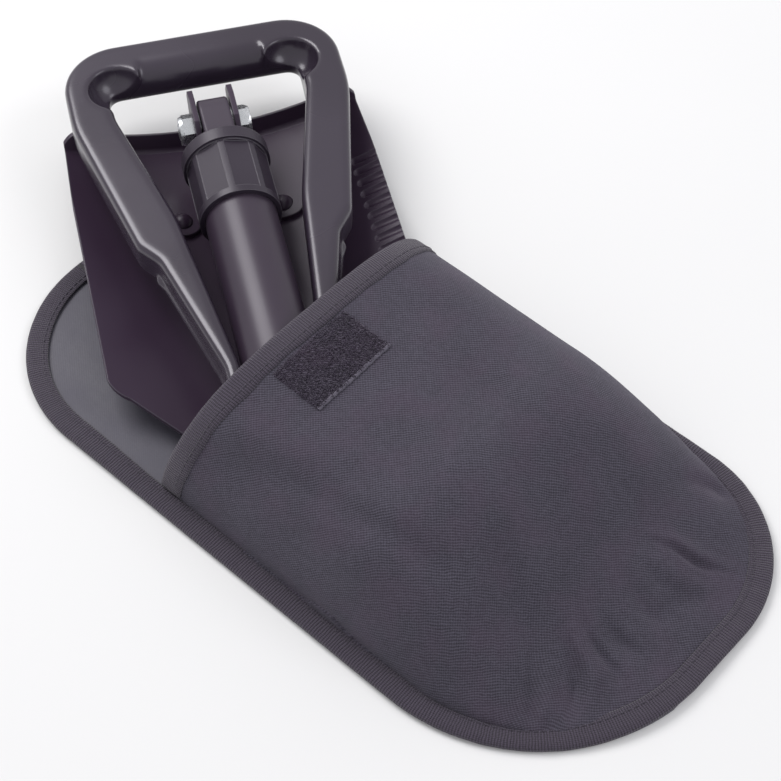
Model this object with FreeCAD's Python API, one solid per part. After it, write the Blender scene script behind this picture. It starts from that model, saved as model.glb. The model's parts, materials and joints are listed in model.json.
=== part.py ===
import FreeCAD, Part
import math
import os

# Folding camp shovel, drawn folded shut and pushed halfway into its fabric pouch.
# Built in the shovel's own frame: the fold bolt lies along X through (0, 0, AXIS_Z),
# the tube runs back along -Y from it, and Z = 0 is the floor under the pouch.
# At the end everything is moved so that the origin is at the middle of the footprint.

V = FreeCAD.Vector
X_AXIS = V(1, 0, 0)
Y_AXIS = V(0, 1, 0)
Z_AXIS = V(0, 0, 1)

# ---- driving dimensions, in millimetres ----
AXIS_Z = 35.0             # height of the tube's axis, the fold bolt and the handle pin
TUBE_R = 15.9             # outside radius of the tube
TUBE_WALL = 1.9
RUN = 0.08                # radial clearance of a running fit
GAP = 0.3                 # least space between pieces that move past each other

BLADE_HALF = 70.5         # half the blade's width
BLADE_TIP_Y = -192.0
BLADE_CORNER_Y = -118.0   # where the sides turn in towards the point
BLADE_T = 2.0
DISH_R = 182.0            # radius of the blade's hollow upper face
BLADE_LOW = 3.4           # underside of the blade at its lowest line
LIP_Y = 15.0              # where the foot lip starts to bend up
LIP_LEAN = 65.0           # lip's angle to the blade, degrees
LIP_LENGTH = 6.6
LIP_BEND_R = 3.0

PIN_R = 4.0               # fold bolt and handle pin
EAR_T = 2.5
EAR_INNER_X = 7.75
EAR_REACH = 17.7          # no part of an ear near the collar is farther from the bolt
TONGUE_HALF = 6.9
TONGUE_R = 12.3

COLLAR_SET_BACK = 2.3     # room between the ears' reach and the collar's front face
COLLAR_FRONT_Y = -(EAR_REACH + COLLAR_SET_BACK)
COLLAR_LENGTH = 38.5
COLLAR_RIM_R = 19.7
COLLAR_RIM_LENGTH = 6.8
COLLAR_BODY_R = 18.3
COLLAR_PANELS = 8

HANDLE_PIN_Y = -172.0
HANDLE_Z0 = 26.5          # underside of the handle frame
HANDLE_Z1 = 43.5
GRIP_OUTER_Y = 54.5       # outer edge of the grip bar
GRIP_INNER_Y = 32.5
FORK_INNER_X = 16.6
LEG_TAIL_X = 23.4

POUCH_ANGLE = 34.0        # between the tube and the pouch, seen from above
POUCH_OFFSET = -62.5      # pouch centre line, measured across the pouch from the bolt
POUCH_FLAP_END = -9.0     # along the pouch, from the bolt
POUCH_BOTTOM = 325.5
POUCH_HALF = 87.0
FLAP_CORNER_R = 66.0
LEFT_CORNER_R = 85.0
RIGHT_CORNER_R = 60.0
MOUTH_X = 106.0           # where the front panel starts
MOUTH_LEAN = 0.2          # the mouth leans back by this much per millimetre of height
MOUTH_HEIGHT = 55.0
TAPE_W = 10.0             # width of the binding tape that shows
TAPE_T = 0.5
BACK_T = 1.2
FRONT_T = 0.8

DISH_AXIS_Z = BLADE_LOW + BLADE_T + DISH_R
OUT = "parts"


# ---- helpers ----
def rounded_face(corners, z):
    """Flat face at height z from (x, y, radius) corners, each rounded by its radius."""
    count = len(corners)
    edges = []
    ends = []
    for i in range(count):
        x, y, radius = corners[i]
        here = V(x, y, z)
        before = V(corners[i - 1][0], corners[i - 1][1], z) - here
        after = V(corners[(i + 1) % count][0], corners[(i + 1) % count][1], z) - here
        before.normalize()
        after.normalize()
        if radius <= 0:
            ends.append((here, None, here))
            continue
        half = before.getAngle(after) / 2
        reach = radius / math.tan(half)
        to_centre = before + after
        to_centre.normalize()
        centre = here + to_centre * (radius / math.sin(half))
        ends.append((here + before * reach, centre - to_centre * radius, here + after * reach))
    for i in range(count):
        start, middle, stop = ends[i]
        if middle is not None:
            edges.append(Part.Arc(start, middle, stop).toShape())
        following = ends[(i + 1) % count][0]
        if stop.distanceToPoint(following) > 1e-6:
            edges.append(Part.makeLine(stop, following))
    return Part.Face(Part.Wire(edges))


def plate(corners, z0, z1):
    """Upright prism between two heights over a rounded outline."""
    return rounded_face(corners, z0).extrude(V(0, 0, z1 - z0))


def mirrored(half):
    """Close a right-hand half outline with its mirror image."""
    return half + [(-x, y, r) for x, y, r in reversed(half)]


def side_plate(points, x0, x1):
    """Plate parallel to the YZ plane from (y, z) points."""
    wire = Part.makePolygon([V(x0, y, z) for y, z in points + points[:1]])
    return Part.Face(wire).extrude(V(x1 - x0, 0, 0))


def rod_x(radius, x0, x1, y=0.0, z=AXIS_Z):
    return Part.makeCylinder(radius, x1 - x0, V(x0, y, z), X_AXIS)


def rod_y(radius, y0, y1, x=0.0, z=AXIS_Z):
    return Part.makeCylinder(radius, y1 - y0, V(x, y0, z), Y_AXIS)


def hexagon_x(across_flats, x0, x1, y=0.0, z=AXIS_Z):
    corner = across_flats / math.sqrt(3)
    points = []
    for k in range(7):
        turn = math.radians(60 * k)
        points.append(V(x0, y + corner * math.sin(turn), z + corner * math.cos(turn)))
    prism = Part.Face(Part.makePolygon(points)).extrude(V(x1 - x0, 0, 0))
    cone_r = corner + 0.9
    length = x1 - x0
    cone = Part.makeCone(cone_r, across_flats / 2 - 0.2, length, V(x0, y, z), X_AXIS)
    slim = Part.makeCylinder(corner, length - 1.6, V(x0, y, z), X_AXIS)
    return prism.common(cone.fuse(slim).common(rod_x(corner, x0, x1, y, z)))


def one(shape):
    """The single solid inside a Boolean's result."""
    merged = shape.removeSplitter()
    solids = merged.Solids
    if len(solids) != 1:
        raise ValueError("expected one solid, found %d" % len(solids))
    return solids[0]


def group(solids):
    return Part.makeCompound(solids)


def on_dish(shape, x):
    """Swing a piece made over x = 0 round the dish's axis to the place at x."""
    turned = shape.copy()
    angle = math.degrees(math.asin(x / DISH_R))
    turned.rotate(V(0, 0, DISH_AXIS_Z), Y_AXIS, -angle)
    return turned


def dish_shell(section):
    """Revolve a (y, height) section about the dish's axis, over the blade's width."""
    sweep = 2 * math.degrees(math.asin((BLADE_HALF + 1.0) / DISH_R))
    face = section.copy()
    face.rotate(V(0, 0, DISH_AXIS_Z), Y_AXIS, sweep / 2)
    return face.revolve(V(0, 0, DISH_AXIS_Z), Y_AXIS, -sweep)


# ---- blade ----
def blade_section():
    """Lengthwise section at the blade's middle: flat sheet, bend, then the foot lip."""
    low = BLADE_LOW
    top = low + BLADE_T
    lean = math.radians(LIP_LEAN)
    centre_z = top + LIP_BEND_R
    inner = LIP_BEND_R
    outer = LIP_BEND_R + BLADE_T

    def on_bend(radius, angle):
        return V(0, LIP_Y + radius * math.sin(angle), centre_z - radius * math.cos(angle))

    rise = V(0, math.cos(lean), math.sin(lean)) * LIP_LENGTH
    a = V(0, BLADE_TIP_Y - 8, low)
    b = V(0, LIP_Y, low)
    c = on_bend(outer, lean)
    f = on_bend(inner, lean)
    d = c + rise
    e = f + rise
    g = V(0, LIP_Y, top)
    h = V(0, BLADE_TIP_Y - 8, top)
    edges = [
        Part.makeLine(a, b),
        Part.Arc(b, on_bend(outer, lean / 2), c).toShape(),
        Part.makeLine(c, d),
        Part.makeLine(d, e),
        Part.makeLine(e, f),
        Part.Arc(f, on_bend(inner, lean / 2), g).toShape(),
        Part.makeLine(g, h),
        Part.makeLine(h, a),
    ]
    return Part.Face(Part.Wire(edges))


def blade_outline():
    """Plan of the blade: straight sides, turned in to a rounded spade point."""
    shoulder = V(BLADE_HALF, BLADE_CORNER_Y, 0)
    below = V(BLADE_HALF - 8, BLADE_CORNER_Y - 11, 0)
    nose = V(7, BLADE_TIP_Y + 3.2, 0)

    def flip(point):
        return V(-point.x, point.y, 0)

    top = V(BLADE_HALF - 2.5, 40, 0)
    hip = V(BLADE_HALF, -20, 0)
    corner = V(BLADE_HALF - 2.6, BLADE_CORNER_Y - 6.6, 0)
    belly = V(37, -155.5, 0)
    edges = [
        Part.makeLine(flip(top), top),
        Part.makeLine(top, hip),
        Part.makeLine(hip, shoulder),
        Part.Arc(shoulder, corner, below).toShape(),
        Part.Arc(below, belly, nose).toShape(),
        Part.Arc(nose, V(0, BLADE_TIP_Y, 0), flip(nose)).toShape(),
        Part.Arc(flip(nose), flip(belly), flip(below)).toShape(),
        Part.Arc(flip(below), flip(corner), flip(shoulder)).toShape(),
        Part.makeLine(flip(shoulder), flip(hip)),
        Part.makeLine(flip(hip), flip(top)),
    ]
    return Part.Face(Part.Wire(edges)).extrude(V(0, 0, 60))


def lip_corner_trim():
    """Front view of what is left when the two top corners of the lip are rounded."""
    side = BLADE_HALF + 0.5
    radius = 9.0
    base = 15.5
    tuck = radius * (1 - math.sqrt(0.5))
    y0 = BLADE_TIP_Y - 10

    def p(x, z):
        return V(x, y0, z)

    edges = [
        Part.makeLine(p(-side, 0), p(side, 0)),
        Part.makeLine(p(side, 0), p(side, base)),
        Part.Arc(p(side, base), p(side - tuck, base + radius - tuck), p(side - radius, base + radius)).toShape(),
        Part.makeLine(p(side - radius, base + radius), p(side - radius, 45)),
        Part.makeLine(p(side - radius, 45), p(radius - side, 45)),
        Part.makeLine(p(radius - side, 45), p(radius - side, base + radius)),
        Part.Arc(p(radius - side, base + radius), p(tuck - side, base + radius - tuck), p(-side, base)).toShape(),
        Part.makeLine(p(-side, base), p(-side, 0)),
    ]
    return Part.Face(Part.Wire(edges)).extrude(V(0, 260, 0))


FLUTES = 12
FLUTE_PITCH = 6.85
FLUTE_FIRST_Y = -19.0
FLUTE_R = 2.7
FLUTE_DEPTH = 1.1
FLUTE_LENGTH = 10.5


def flute_cutters():
    """Round-ended grooves across the right-hand edge of the blade."""
    cutters = []
    inner_x = BLADE_HALF - FLUTE_LENGTH
    for k in range(FLUTES):
        y = FLUTE_FIRST_Y - FLUTE_PITCH * k
        z = BLADE_LOW + BLADE_T + FLUTE_R - FLUTE_DEPTH
        groove = Part.makeCylinder(FLUTE_R, FLUTE_LENGTH + 8, V(0, y, z), X_AXIS)
        groove = groove.fuse(Part.makeSphere(FLUTE_R, V(0, y, z)))
        cutters.append(on_dish(groove, inner_x))
    return cutters


RIVET_X = 23.6
RIVET_Y = -30.6
RIVET_R = 3.0
RIVET_HEAD_R = 4.8
RIVET_HEAD_H = 3.0
BRACKET_T = 2.5


def rivet_holes():
    """Cutters for the two rivet holes, square to the dished sheet."""
    drill = Part.makeCylinder(RIVET_R, 14, V(0, RIVET_Y, BLADE_LOW - 4))
    return [on_dish(drill, RIVET_X), on_dish(drill, -RIVET_X)]


def make_blade():
    sheet = dish_shell(blade_section())
    sheet = sheet.common(blade_outline())
    sheet = sheet.common(lip_corner_trim())
    sheet = sheet.cut(flute_cutters() + rivet_holes())
    return one(sheet)


def ear_profile():
    """Side view of an ear: broad root, then a point that leans forward past the bolt."""
    z = AXIS_Z
    root = BLADE_LOW + BLADE_T + 0.6
    return [
        (-14.0, root),
        (10.5, root),
        (11.5, z - 9.0),
        (16.0, z + 6.0),
        (13.2, z + 11.2),
        (7.0, z + 12.5),
        (-6.0, z + 11.0),
        (-12.5, z + 4.5),
        (-14.0, z - 3.0),
    ]


def make_bracket():
    """Stamped bracket: a base that follows the dish, two riveted tabs and two ears."""
    top = BLADE_LOW + BLADE_T
    section = Part.makePolygon([
        V(0, -60, top), V(0, LIP_Y, top), V(0, LIP_Y, top + BRACKET_T),
        V(0, -60, top + BRACKET_T), V(0, -60, top)])
    base = dish_shell(Part.Face(section))
    tab = RIVET_HEAD_R + 3.6
    half = [
        (48.0, LIP_Y - 1.5, 4.0),
        (RIVET_X + tab + 2.5, RIVET_Y + 4, 7.0),
        (RIVET_X + tab - 0.5, RIVET_Y - tab, tab - 0.6),
        (RIVET_X - tab, RIVET_Y - tab, tab - 0.6),
        (RIVET_X - tab - 1.5, -16.0, 2.0),
    ]
    base = base.common(plate(mirrored(half), 0, 40))
    solid = base
    for side in (1, -1):
        x0 = EAR_INNER_X if side > 0 else -EAR_INNER_X - EAR_T
        solid = solid.fuse(side_plate(ear_profile(), x0, x0 + EAR_T))
    reach = EAR_INNER_X + EAR_T + 1
    solid = solid.cut([rod_x(PIN_R, -reach, reach)] + rivet_holes())
    return one(solid)


def make_rivets():
    """Domed rivets through the bracket's tabs and the blade, upset flat underneath."""
    top = BLADE_LOW + BLADE_T + BRACKET_T
    shank = Part.makeCylinder(RIVET_R, BLADE_T + BRACKET_T, V(0, RIVET_Y, BLADE_LOW))
    ball_r = (RIVET_HEAD_R ** 2 + RIVET_HEAD_H ** 2) / (2 * RIVET_HEAD_H)
    ball = Part.makeSphere(ball_r, V(0, RIVET_Y, top + RIVET_HEAD_H - ball_r))
    head = ball.common(Part.makeCylinder(RIVET_HEAD_R + 1, RIVET_HEAD_H, V(0, RIVET_Y, top)))
    foot = Part.makeCone(RIVET_HEAD_R - 1.6, RIVET_HEAD_R - 0.8, 0.7, V(0, RIVET_Y, BLADE_LOW - 0.7))
    rivet = one(shank.fuse([head, foot]))
    return group([on_dish(rivet, RIVET_X), on_dish(rivet, -RIVET_X)])


# ---- fold bolt ----
HEX_AF = 13.0
BOLT_HEAD = 5.5
NUT_T = 6.5
SIDE_X = EAR_INNER_X + EAR_T


def make_bolt():
    end = -SIDE_X - NUT_T - 0.4
    shank = rod_x(PIN_R, end, SIDE_X)
    tip = [e for e in shank.Edges if e.BoundBox.XMax < end + 0.01]
    shank = shank.makeChamfer(0.4, tip)
    return one(shank.fuse(hexagon_x(HEX_AF, SIDE_X, SIDE_X + BOLT_HEAD)))


def make_nut():
    nut = hexagon_x(HEX_AF, 0, NUT_T, 0, 0)
    nut.rotate(V(0, 0, 0), Z_AXIS, 180)
    nut.translate(V(-SIDE_X, 0, AXIS_Z))
    return one(nut.cut(rod_x(PIN_R, -SIDE_X - NUT_T - 1, -SIDE_X + 1)))


def make_spacers():
    """Thin washers against the inner faces of the ears."""
    solids = []
    for side in (1, -1):
        x0 = EAR_INNER_X - 0.5 if side > 0 else -EAR_INNER_X
        solids.append(rod_x(8.0, x0, x0 + 0.5).cut(rod_x(PIN_R, x0 - 1, x0 + 1.5)))
    return group(solids)


# ---- shaft ----
BARREL_FRONT_Y = COLLAR_FRONT_Y - 3.0
TUBE_FRONT_Y = -41.0
TUBE_BACK_Y = -161.0
PLUG_LENGTH = 22.0
LUG_R = 12.0
LUG_HALF = 12.6
PIN_PLACES = (TUBE_FRONT_Y - 12.0, TUBE_BACK_Y + 12.0)
SPRING_PIN_R = 2.0
THREAD_PITCH = 3.0


def pin_drill(y):
    """Cutter for an upright spring pin through the tube."""
    return Part.makeCylinder(SPRING_PIN_R, 2 * TUBE_R + 4, V(0, y, AXIS_Z - TUBE_R - 2))


def make_head():
    """Tongue, threaded barrel and the plug that sits in the tube."""
    back = BARREL_FRONT_Y - 2.0
    tongue = rod_x(TONGUE_R, -TONGUE_HALF, TONGUE_HALF)
    neck = Part.makeBox(2 * TONGUE_HALF, -back, 2 * TONGUE_R, V(-TONGUE_HALF, back, AXIS_Z - TONGUE_R))
    tongue = tongue.fuse(neck).removeSplitter()
    rims = [e for e in tongue.Edges if e.BoundBox.XLength < 0.01 and e.BoundBox.YMax > back + 0.5]
    tongue = tongue.makeFillet(1.2, rims)
    barrel = rod_y(TUBE_R, TUBE_FRONT_Y, BARREL_FRONT_Y)
    plug = rod_y(TUBE_R - TUBE_WALL, TUBE_FRONT_Y - PLUG_LENGTH, TUBE_FRONT_Y)
    grooves = []
    for k in range(4):
        y = BARREL_FRONT_Y - 2.4 - THREAD_PITCH * k
        ring = rod_y(TUBE_R + 1, y - 0.6, y + 0.6)
        grooves.append(ring.cut(rod_y(TUBE_R - 0.8, y - 2, y + 2)))
    head = tongue.fuse([barrel, plug])
    head = head.cut([rod_x(PIN_R + RUN, -TONGUE_R, TONGUE_R), pin_drill(PIN_PLACES[0])] + grooves)
    return one(head)


def make_tube():
    tube = rod_y(TUBE_R, TUBE_BACK_Y, TUBE_FRONT_Y)
    tube = tube.cut(rod_y(TUBE_R - TUBE_WALL, TUBE_BACK_Y - 1, TUBE_FRONT_Y + 1))
    return one(tube.cut([pin_drill(y) for y in PIN_PLACES]))


def make_tail_block():
    """Plug in the tube's end with a flat-sided lug for the handle pin."""
    plug = rod_y(TUBE_R - TUBE_WALL, TUBE_BACK_Y, TUBE_BACK_Y + PLUG_LENGTH)
    flange = rod_y(TUBE_R, TUBE_BACK_Y - 2.5, TUBE_BACK_Y)
    lug = rod_x(LUG_R, -LUG_HALF, LUG_HALF, HANDLE_PIN_Y)
    root = Part.makeBox(2 * LUG_HALF, TUBE_BACK_Y - 1 - HANDLE_PIN_Y, 2 * LUG_R,
                        V(-LUG_HALF, HANDLE_PIN_Y, AXIS_Z - LUG_R))
    lug = lug.fuse(root).common(rod_y(TUBE_R, HANDLE_PIN_Y - 20, TUBE_BACK_Y))
    block = plug.fuse([flange, lug])
    bore = rod_x(PIN_R + RUN, -TUBE_R - 1, TUBE_R + 1, HANDLE_PIN_Y)
    return one(block.cut([bore, pin_drill(PIN_PLACES[1])]))


def make_spring_pins():
    """Flush pins that hold the two plugs in the tube, cut to the tube's round."""
    skin = rod_y(TUBE_R - 0.15, TUBE_BACK_Y, TUBE_FRONT_Y)
    return group([pin_drill(y).common(skin).Solids[0] for y in PIN_PLACES])


# ---- locking collar ----
RING_Y = COLLAR_FRONT_Y - COLLAR_LENGTH + 2.2
RING_W = 1.4
RING_R = 17.0


def make_collar():
    """Threaded sleeve: a thick rim at the front and flat panels sunk round the body."""
    back = COLLAR_FRONT_Y - COLLAR_LENGTH
    rim_back = COLLAR_FRONT_Y - COLLAR_RIM_LENGTH
    body = rod_y(COLLAR_BODY_R, back, rim_back)
    rim = rod_y(COLLAR_RIM_R, rim_back, COLLAR_FRONT_Y)
    front = [e for e in rim.Edges if e.BoundBox.YLength < 0.01 and e.BoundBox.YMax > COLLAR_FRONT_Y - 0.01]
    rim = rim.makeFillet(0.8, front)
    sleeve = body.fuse(rim)
    panel_back = back + 3.4
    panel_front = rim_back - 0.6
    width = 11.2
    cutters = []
    for k in range(COLLAR_PANELS):
        panel = Part.makeBox(width, panel_front - panel_back, 6,
                             V(-width / 2, panel_back, AXIS_Z + COLLAR_BODY_R - 1.1))
        panel.rotate(V(0, 0, AXIS_Z), Y_AXIS, 360.0 * (k + 0.35) / COLLAR_PANELS)
        cutters.append(panel)
    cutters.append(rod_y(TUBE_R + RUN, back - 1, COLLAR_FRONT_Y + 1))
    cutters.append(rod_y(RING_R + 0.1, RING_Y - GAP, RING_Y + RING_W + GAP))
    return one(sleeve.cut(cutters))


def make_collar_ring():
    """Split ring inside the collar's tail; it rides along the tube with the collar."""
    ring = rod_y(RING_R, RING_Y, RING_Y + RING_W)
    ring = ring.cut(rod_y(TUBE_R + RUN, RING_Y - 1, RING_Y + RING_W + 1))
    split = Part.makeBox(3, 4, 6, V(-1.5, RING_Y - 1, AXIS_Z - RING_R - 2))
    return one(ring.cut(split))


# ---- handle ----
EYE_R = 9.5
PIN_HEAD_R = 6.2
PIN_HEAD_T = 2.2
SCOOP_R = 13.0            # thumb scoops in the inner corners of the grip
SCOOP_X = 40.5
SCOOP_Y = 26.5


def handle_outline():
    """Plan of the D: grip bar across the front, legs that converge to the fork."""
    outer = [
        (64.2, GRIP_OUTER_Y, 26.0),
        (63.8, 6.0, 70.0),
        (47.2, -70.0, 9.0),
        (39.5, -80.5, 9.0),
        (LEG_TAIL_X, -142.0, 20.0),
        (LEG_TAIL_X, HANDLE_PIN_Y - EYE_R, 0.0),
    ]
    inner = [
        (FORK_INNER_X, HANDLE_PIN_Y - EYE_R, 0.0),
        (FORK_INNER_X, -142.0, 30.0),
        (27.6, -56.0, 90.0),
        (43.8, 8.0, 25.0),
        (45.0, GRIP_INNER_Y, 6.0),
    ]
    right = outer + inner
    left = [(-x, y, r) for x, y, r in reversed(right)]
    return right + left


def make_handle():
    """D-handle: rounded frame, barrel grip, thumb scoops at the corners, fork eyes."""
    frame = plate(handle_outline(), HANDLE_Z0, HANDLE_Z1)
    rims = []
    for edge in frame.Edges:
        box = edge.BoundBox
        flat = box.ZLength < 0.01
        if flat and box.YMax > HANDLE_PIN_Y - EYE_R + 1:
            rims.append(edge)
    frame = frame.makeFillet(3.0, rims)
    grip_r = 11.0
    grip_y = GRIP_INNER_Y + grip_r
    grip_z = HANDLE_Z1 - grip_r
    waste = Part.makeBox(58, grip_r + 2, grip_r + 2, V(-29, grip_y - grip_r - 2, grip_z))
    frame = frame.cut(waste.cut(rod_x(grip_r, -40, 40, grip_y, grip_z)))
    scoops = [Part.makeSphere(SCOOP_R, V(s * SCOOP_X, SCOOP_Y, HANDLE_Z1 + 1.5)) for s in (1, -1)]
    frame = frame.cut(scoops)
    ledges = []
    for s in (1, -1):
        strip = [
            (s * 36.0, -78.0, 0.0),
            (s * 43.6, -78.5, 3.0),
            (s * 39.0, -88.0, 12.0),
            (s * (LEG_TAIL_X + 1.6), -141.0, 20.0),
            (s * (LEG_TAIL_X + 1.6), HANDLE_PIN_Y + EYE_R + 4, 0.0),
            (s * (LEG_TAIL_X - 3.0), HANDLE_PIN_Y + EYE_R + 4, 0.0),
            (s * (LEG_TAIL_X - 3.0), -141.0, 0.0),
        ]
        ledges.append(plate(strip, HANDLE_Z0 + 3.2, HANDLE_Z0 + 6.0))
    frame = frame.fuse(ledges)
    # round the two ends of the fork into eyes about the pin
    tail = Part.makeBox(80, EYE_R + 1, 40, V(-40, HANDLE_PIN_Y - EYE_R - 1, AXIS_Z - 20))
    tail = tail.cut(rod_x(EYE_R, -41, 41, HANDLE_PIN_Y))
    frame = frame.cut(tail)
    return one(frame.cut(rod_x(PIN_R, -41, 41, HANDLE_PIN_Y)))


def make_handle_pin():
    """Headed pin across the fork, riveted over at the far side."""
    shank = rod_x(PIN_R, -LEG_TAIL_X, LEG_TAIL_X, HANDLE_PIN_Y)
    near = Part.makeCone(PIN_HEAD_R, PIN_HEAD_R - 1.2, PIN_HEAD_T, V(LEG_TAIL_X, HANDLE_PIN_Y, AXIS_Z), X_AXIS)
    far = Part.makeCone(PIN_HEAD_R, PIN_HEAD_R - 1.8, PIN_HEAD_T, V(-LEG_TAIL_X, HANDLE_PIN_Y, AXIS_Z), -X_AXIS)
    return one(shank.fuse([near, far]))


def make_friction_washers():
    """Dished spring washers between the fork and the lug; they hold the handle by friction."""
    solids = []
    for side in (1, -1):
        x0 = LUG_HALF + 0.35
        x1 = FORK_INNER_X
        outer = Part.makeCone(8.2, 7.4, x1 - x0, V(x0, HANDLE_PIN_Y, AXIS_Z), X_AXIS)
        washer = outer.cut(rod_x(PIN_R, x0 - 1, x1 + 1, HANDLE_PIN_Y))
        if side < 0:
            washer = washer.mirror(V(0, HANDLE_PIN_Y, AXIS_Z), X_AXIS)
        solids.append(washer.Solids[0])
    return group(solids)


# ---- pouch, in its own frame: x along it from the flap end, y across, z up ----
BACK_Z = TAPE_T
HEM_Z = BACK_Z + BACK_T
SEAM_Z = HEM_Z + FRONT_T
SEAT = 1.0                # how far the panels stay inside the outside of the tape
PATCH_T = 1.0


def place_pouch(shape):
    """Turn and move a piece from the pouch's frame into the shovel's frame."""
    placed = shape.copy()
    across = math.radians(POUCH_ANGLE)
    placed.rotate(V(0, 0, 0), Z_AXIS, POUCH_ANGLE - 90)
    placed.translate(V(math.cos(across), math.sin(across), 0) * POUCH_OFFSET)
    return placed


def pouch_outline(inset, x0=POUCH_FLAP_END):
    """Rounded outline of the pouch, moved in from the edge by inset."""
    half = POUCH_HALF - inset
    end = POUCH_BOTTOM - inset
    square = x0 > POUCH_FLAP_END
    flap_r = 0.0 if square else FLAP_CORNER_R - inset
    start = x0 if square else x0 + inset
    return [
        (start, half, flap_r),
        (start, -half, flap_r),
        (end, -half, LEFT_CORNER_R - inset),
        (end, half, RIGHT_CORNER_R - inset),
    ]


def pocket_side(inset):
    """Box that keeps the flap's half of the pouch, up to the mouth."""
    return Part.makeBox(MOUTH_X - POUCH_FLAP_END + 40, 300, 80, V(POUCH_FLAP_END - 40 + inset, -150, -10))


def make_back_panel():
    """Stiff back panel that runs past the mouth as the flap, with a turned hem on the flap."""
    panel = plate(pouch_outline(SEAT), BACK_Z, HEM_Z)
    hem = plate(pouch_outline(SEAT), HEM_Z, SEAM_Z).cut(plate(pouch_outline(TAPE_W), 0, 10))
    hem = hem.common(pocket_side(0))
    return one(panel.fuse(hem))


def make_edge_binding(puff):
    """Tape folded round the whole outline; its upper edge stops where the front panel rises."""
    ring = plate(pouch_outline(0), 0, SEAM_Z + TAPE_T)
    ring = ring.cut(plate(pouch_outline(TAPE_W), -1, 10))
    slot = plate(pouch_outline(SEAT), TAPE_T, SEAM_Z)
    return one(ring.cut([slot, puff]))


ARCH_SHIFT = 2.4          # the puffed part sits this far to the right of the pouch's middle
ARCH_HALF = POUCH_HALF - TAPE_W + 2.0   # half the width of the puffed part at its foot
ARCH_POWER = 3.5          # how square-shouldered the puffed part is
PUFF_KEEP = 98.0          # length behind the mouth that stays at full height
PUFF_END = POUCH_BOTTOM - TAPE_W - 2.0
END_TURN_R = 76.0         # the puffed part narrows round the pouch's end with this radius
ARCH_STEPS = 14
FALL_STEPS = 12           # sections along the part that falls away to the pouch's end


def puff_height(x):
    """Height of the front panel's outside over the pouch's middle line."""
    low = SEAM_Z + 1.5
    start = MOUTH_X + PUFF_KEEP
    if x <= start:
        return MOUTH_HEIGHT
    fall = 0.5 + 0.5 * math.cos(math.pi * min(1.0, (x - start) / (PUFF_END - start)))
    return low + (MOUTH_HEIGHT - low) * fall


def puff_half(x):
    """Half width of the puffed part; it narrows to follow the pouch's round end."""
    turn = POUCH_BOTTOM - TAPE_W - END_TURN_R
    if x <= turn:
        return ARCH_HALF
    return ARCH_HALF - END_TURN_R + math.sqrt(END_TURN_R ** 2 - (x - turn) ** 2)


def arch_point(k, x, half, height, floor, lean):
    """Point k of ARCH_STEPS along an arch over the pouch, from left foot to right foot."""
    across = -math.cos(math.pi * k / ARCH_STEPS)
    rise = math.sqrt(max(0.0, 1 - abs(across) ** ARCH_POWER))
    z = floor + (height - floor) * rise
    return V(x + lean * (z - SEAM_Z), ARCH_SHIFT + across * half, z)


def arch_wire(x, half, height, floor, lean):
    """Closed section: an arch over a straight floor."""
    points = [arch_point(k, x, half, height, floor, lean) for k in range(ARCH_STEPS + 1)]
    curve = Part.BSplineCurve()
    curve.interpolate(points)
    return Part.Wire([curve.toShape(), Part.makeLine(points[-1], points[0])])


def make_puff():
    """Outside of the puffed part, as a solid, and the hollow inside it."""
    last = PUFF_END - 1.0
    full = MOUTH_X + PUFF_KEEP
    outer = []
    inner = []
    for spot in [-1.0] + [k / FALL_STEPS for k in range(FALL_STEPS + 1)]:
        x = MOUTH_X if spot < 0 else full + (last - full) * spot
        outer.append(arch_wire(x, puff_half(x), puff_height(x), HEM_Z, MOUTH_LEAN))
        # the hollow runs out past the mouth and stops short of the far end
        x_in = x - 2.0 if spot < 0 else x - 1.0
        height = puff_height(x) - FRONT_T
        inner.append(arch_wire(x_in, puff_half(x) - FRONT_T, height, HEM_Z - 0.5, MOUTH_LEAN))
    return Part.makeLoft(outer, True, True), Part.makeLoft(inner, True, True)


def make_front_panel(puff, hollow):
    """Puffed fabric panel over the pocket, with the flat rim that is sewn under the tape."""
    shell = puff.cut(hollow)
    right = ARCH_SHIFT + ARCH_HALF - FRONT_T
    left = ARCH_SHIFT - ARCH_HALF + FRONT_T
    turn_r = END_TURN_R - FRONT_T
    end = POUCH_BOTTOM - TAPE_W - FRONT_T
    hole = plate([
        (MOUTH_X - 5, right, 0.0), (MOUTH_X - 5, left, 0.0),
        (end, left, turn_r), (end, right, turn_r)], HEM_Z - 1, SEAM_Z + 1)
    last = PUFF_END - 1.0
    hole = hole.common(Part.makeBox(last - FRONT_T, 4 * POUCH_HALF, 20, V(0, -2 * POUCH_HALF, -5)))
    rim = plate(pouch_outline(SEAT, MOUTH_X), HEM_Z, SEAM_Z).cut(hole)
    return one(shell.fuse(rim))


def mouth_arch(x, grow, floor):
    return arch_wire(x, ARCH_HALF + grow, MOUTH_HEIGHT + grow, floor, MOUTH_LEAN)


def make_mouth_binding(front_panel):
    """Tape folded over the free edge of the front panel, outside and inside."""
    front = MOUTH_X - 0.8
    back = MOUTH_X + TAPE_W
    under = FRONT_T + TAPE_T
    outside = Part.makeLoft([mouth_arch(x, TAPE_T, BACK_Z) for x in (front, back)], True, True)
    inside = Part.makeLoft([mouth_arch(x, -under, BACK_Z - 1) for x in (front - 1, back + 1)], True, True)
    tape = outside.cut([inside, front_panel])
    floor = Part.makeBox(POUCH_BOTTOM, 4 * POUCH_HALF, 20, V(0, -2 * POUCH_HALF, SEAM_Z + TAPE_T + 0.05 - 20))
    tape = tape.cut(floor)
    return one(tape)


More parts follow.
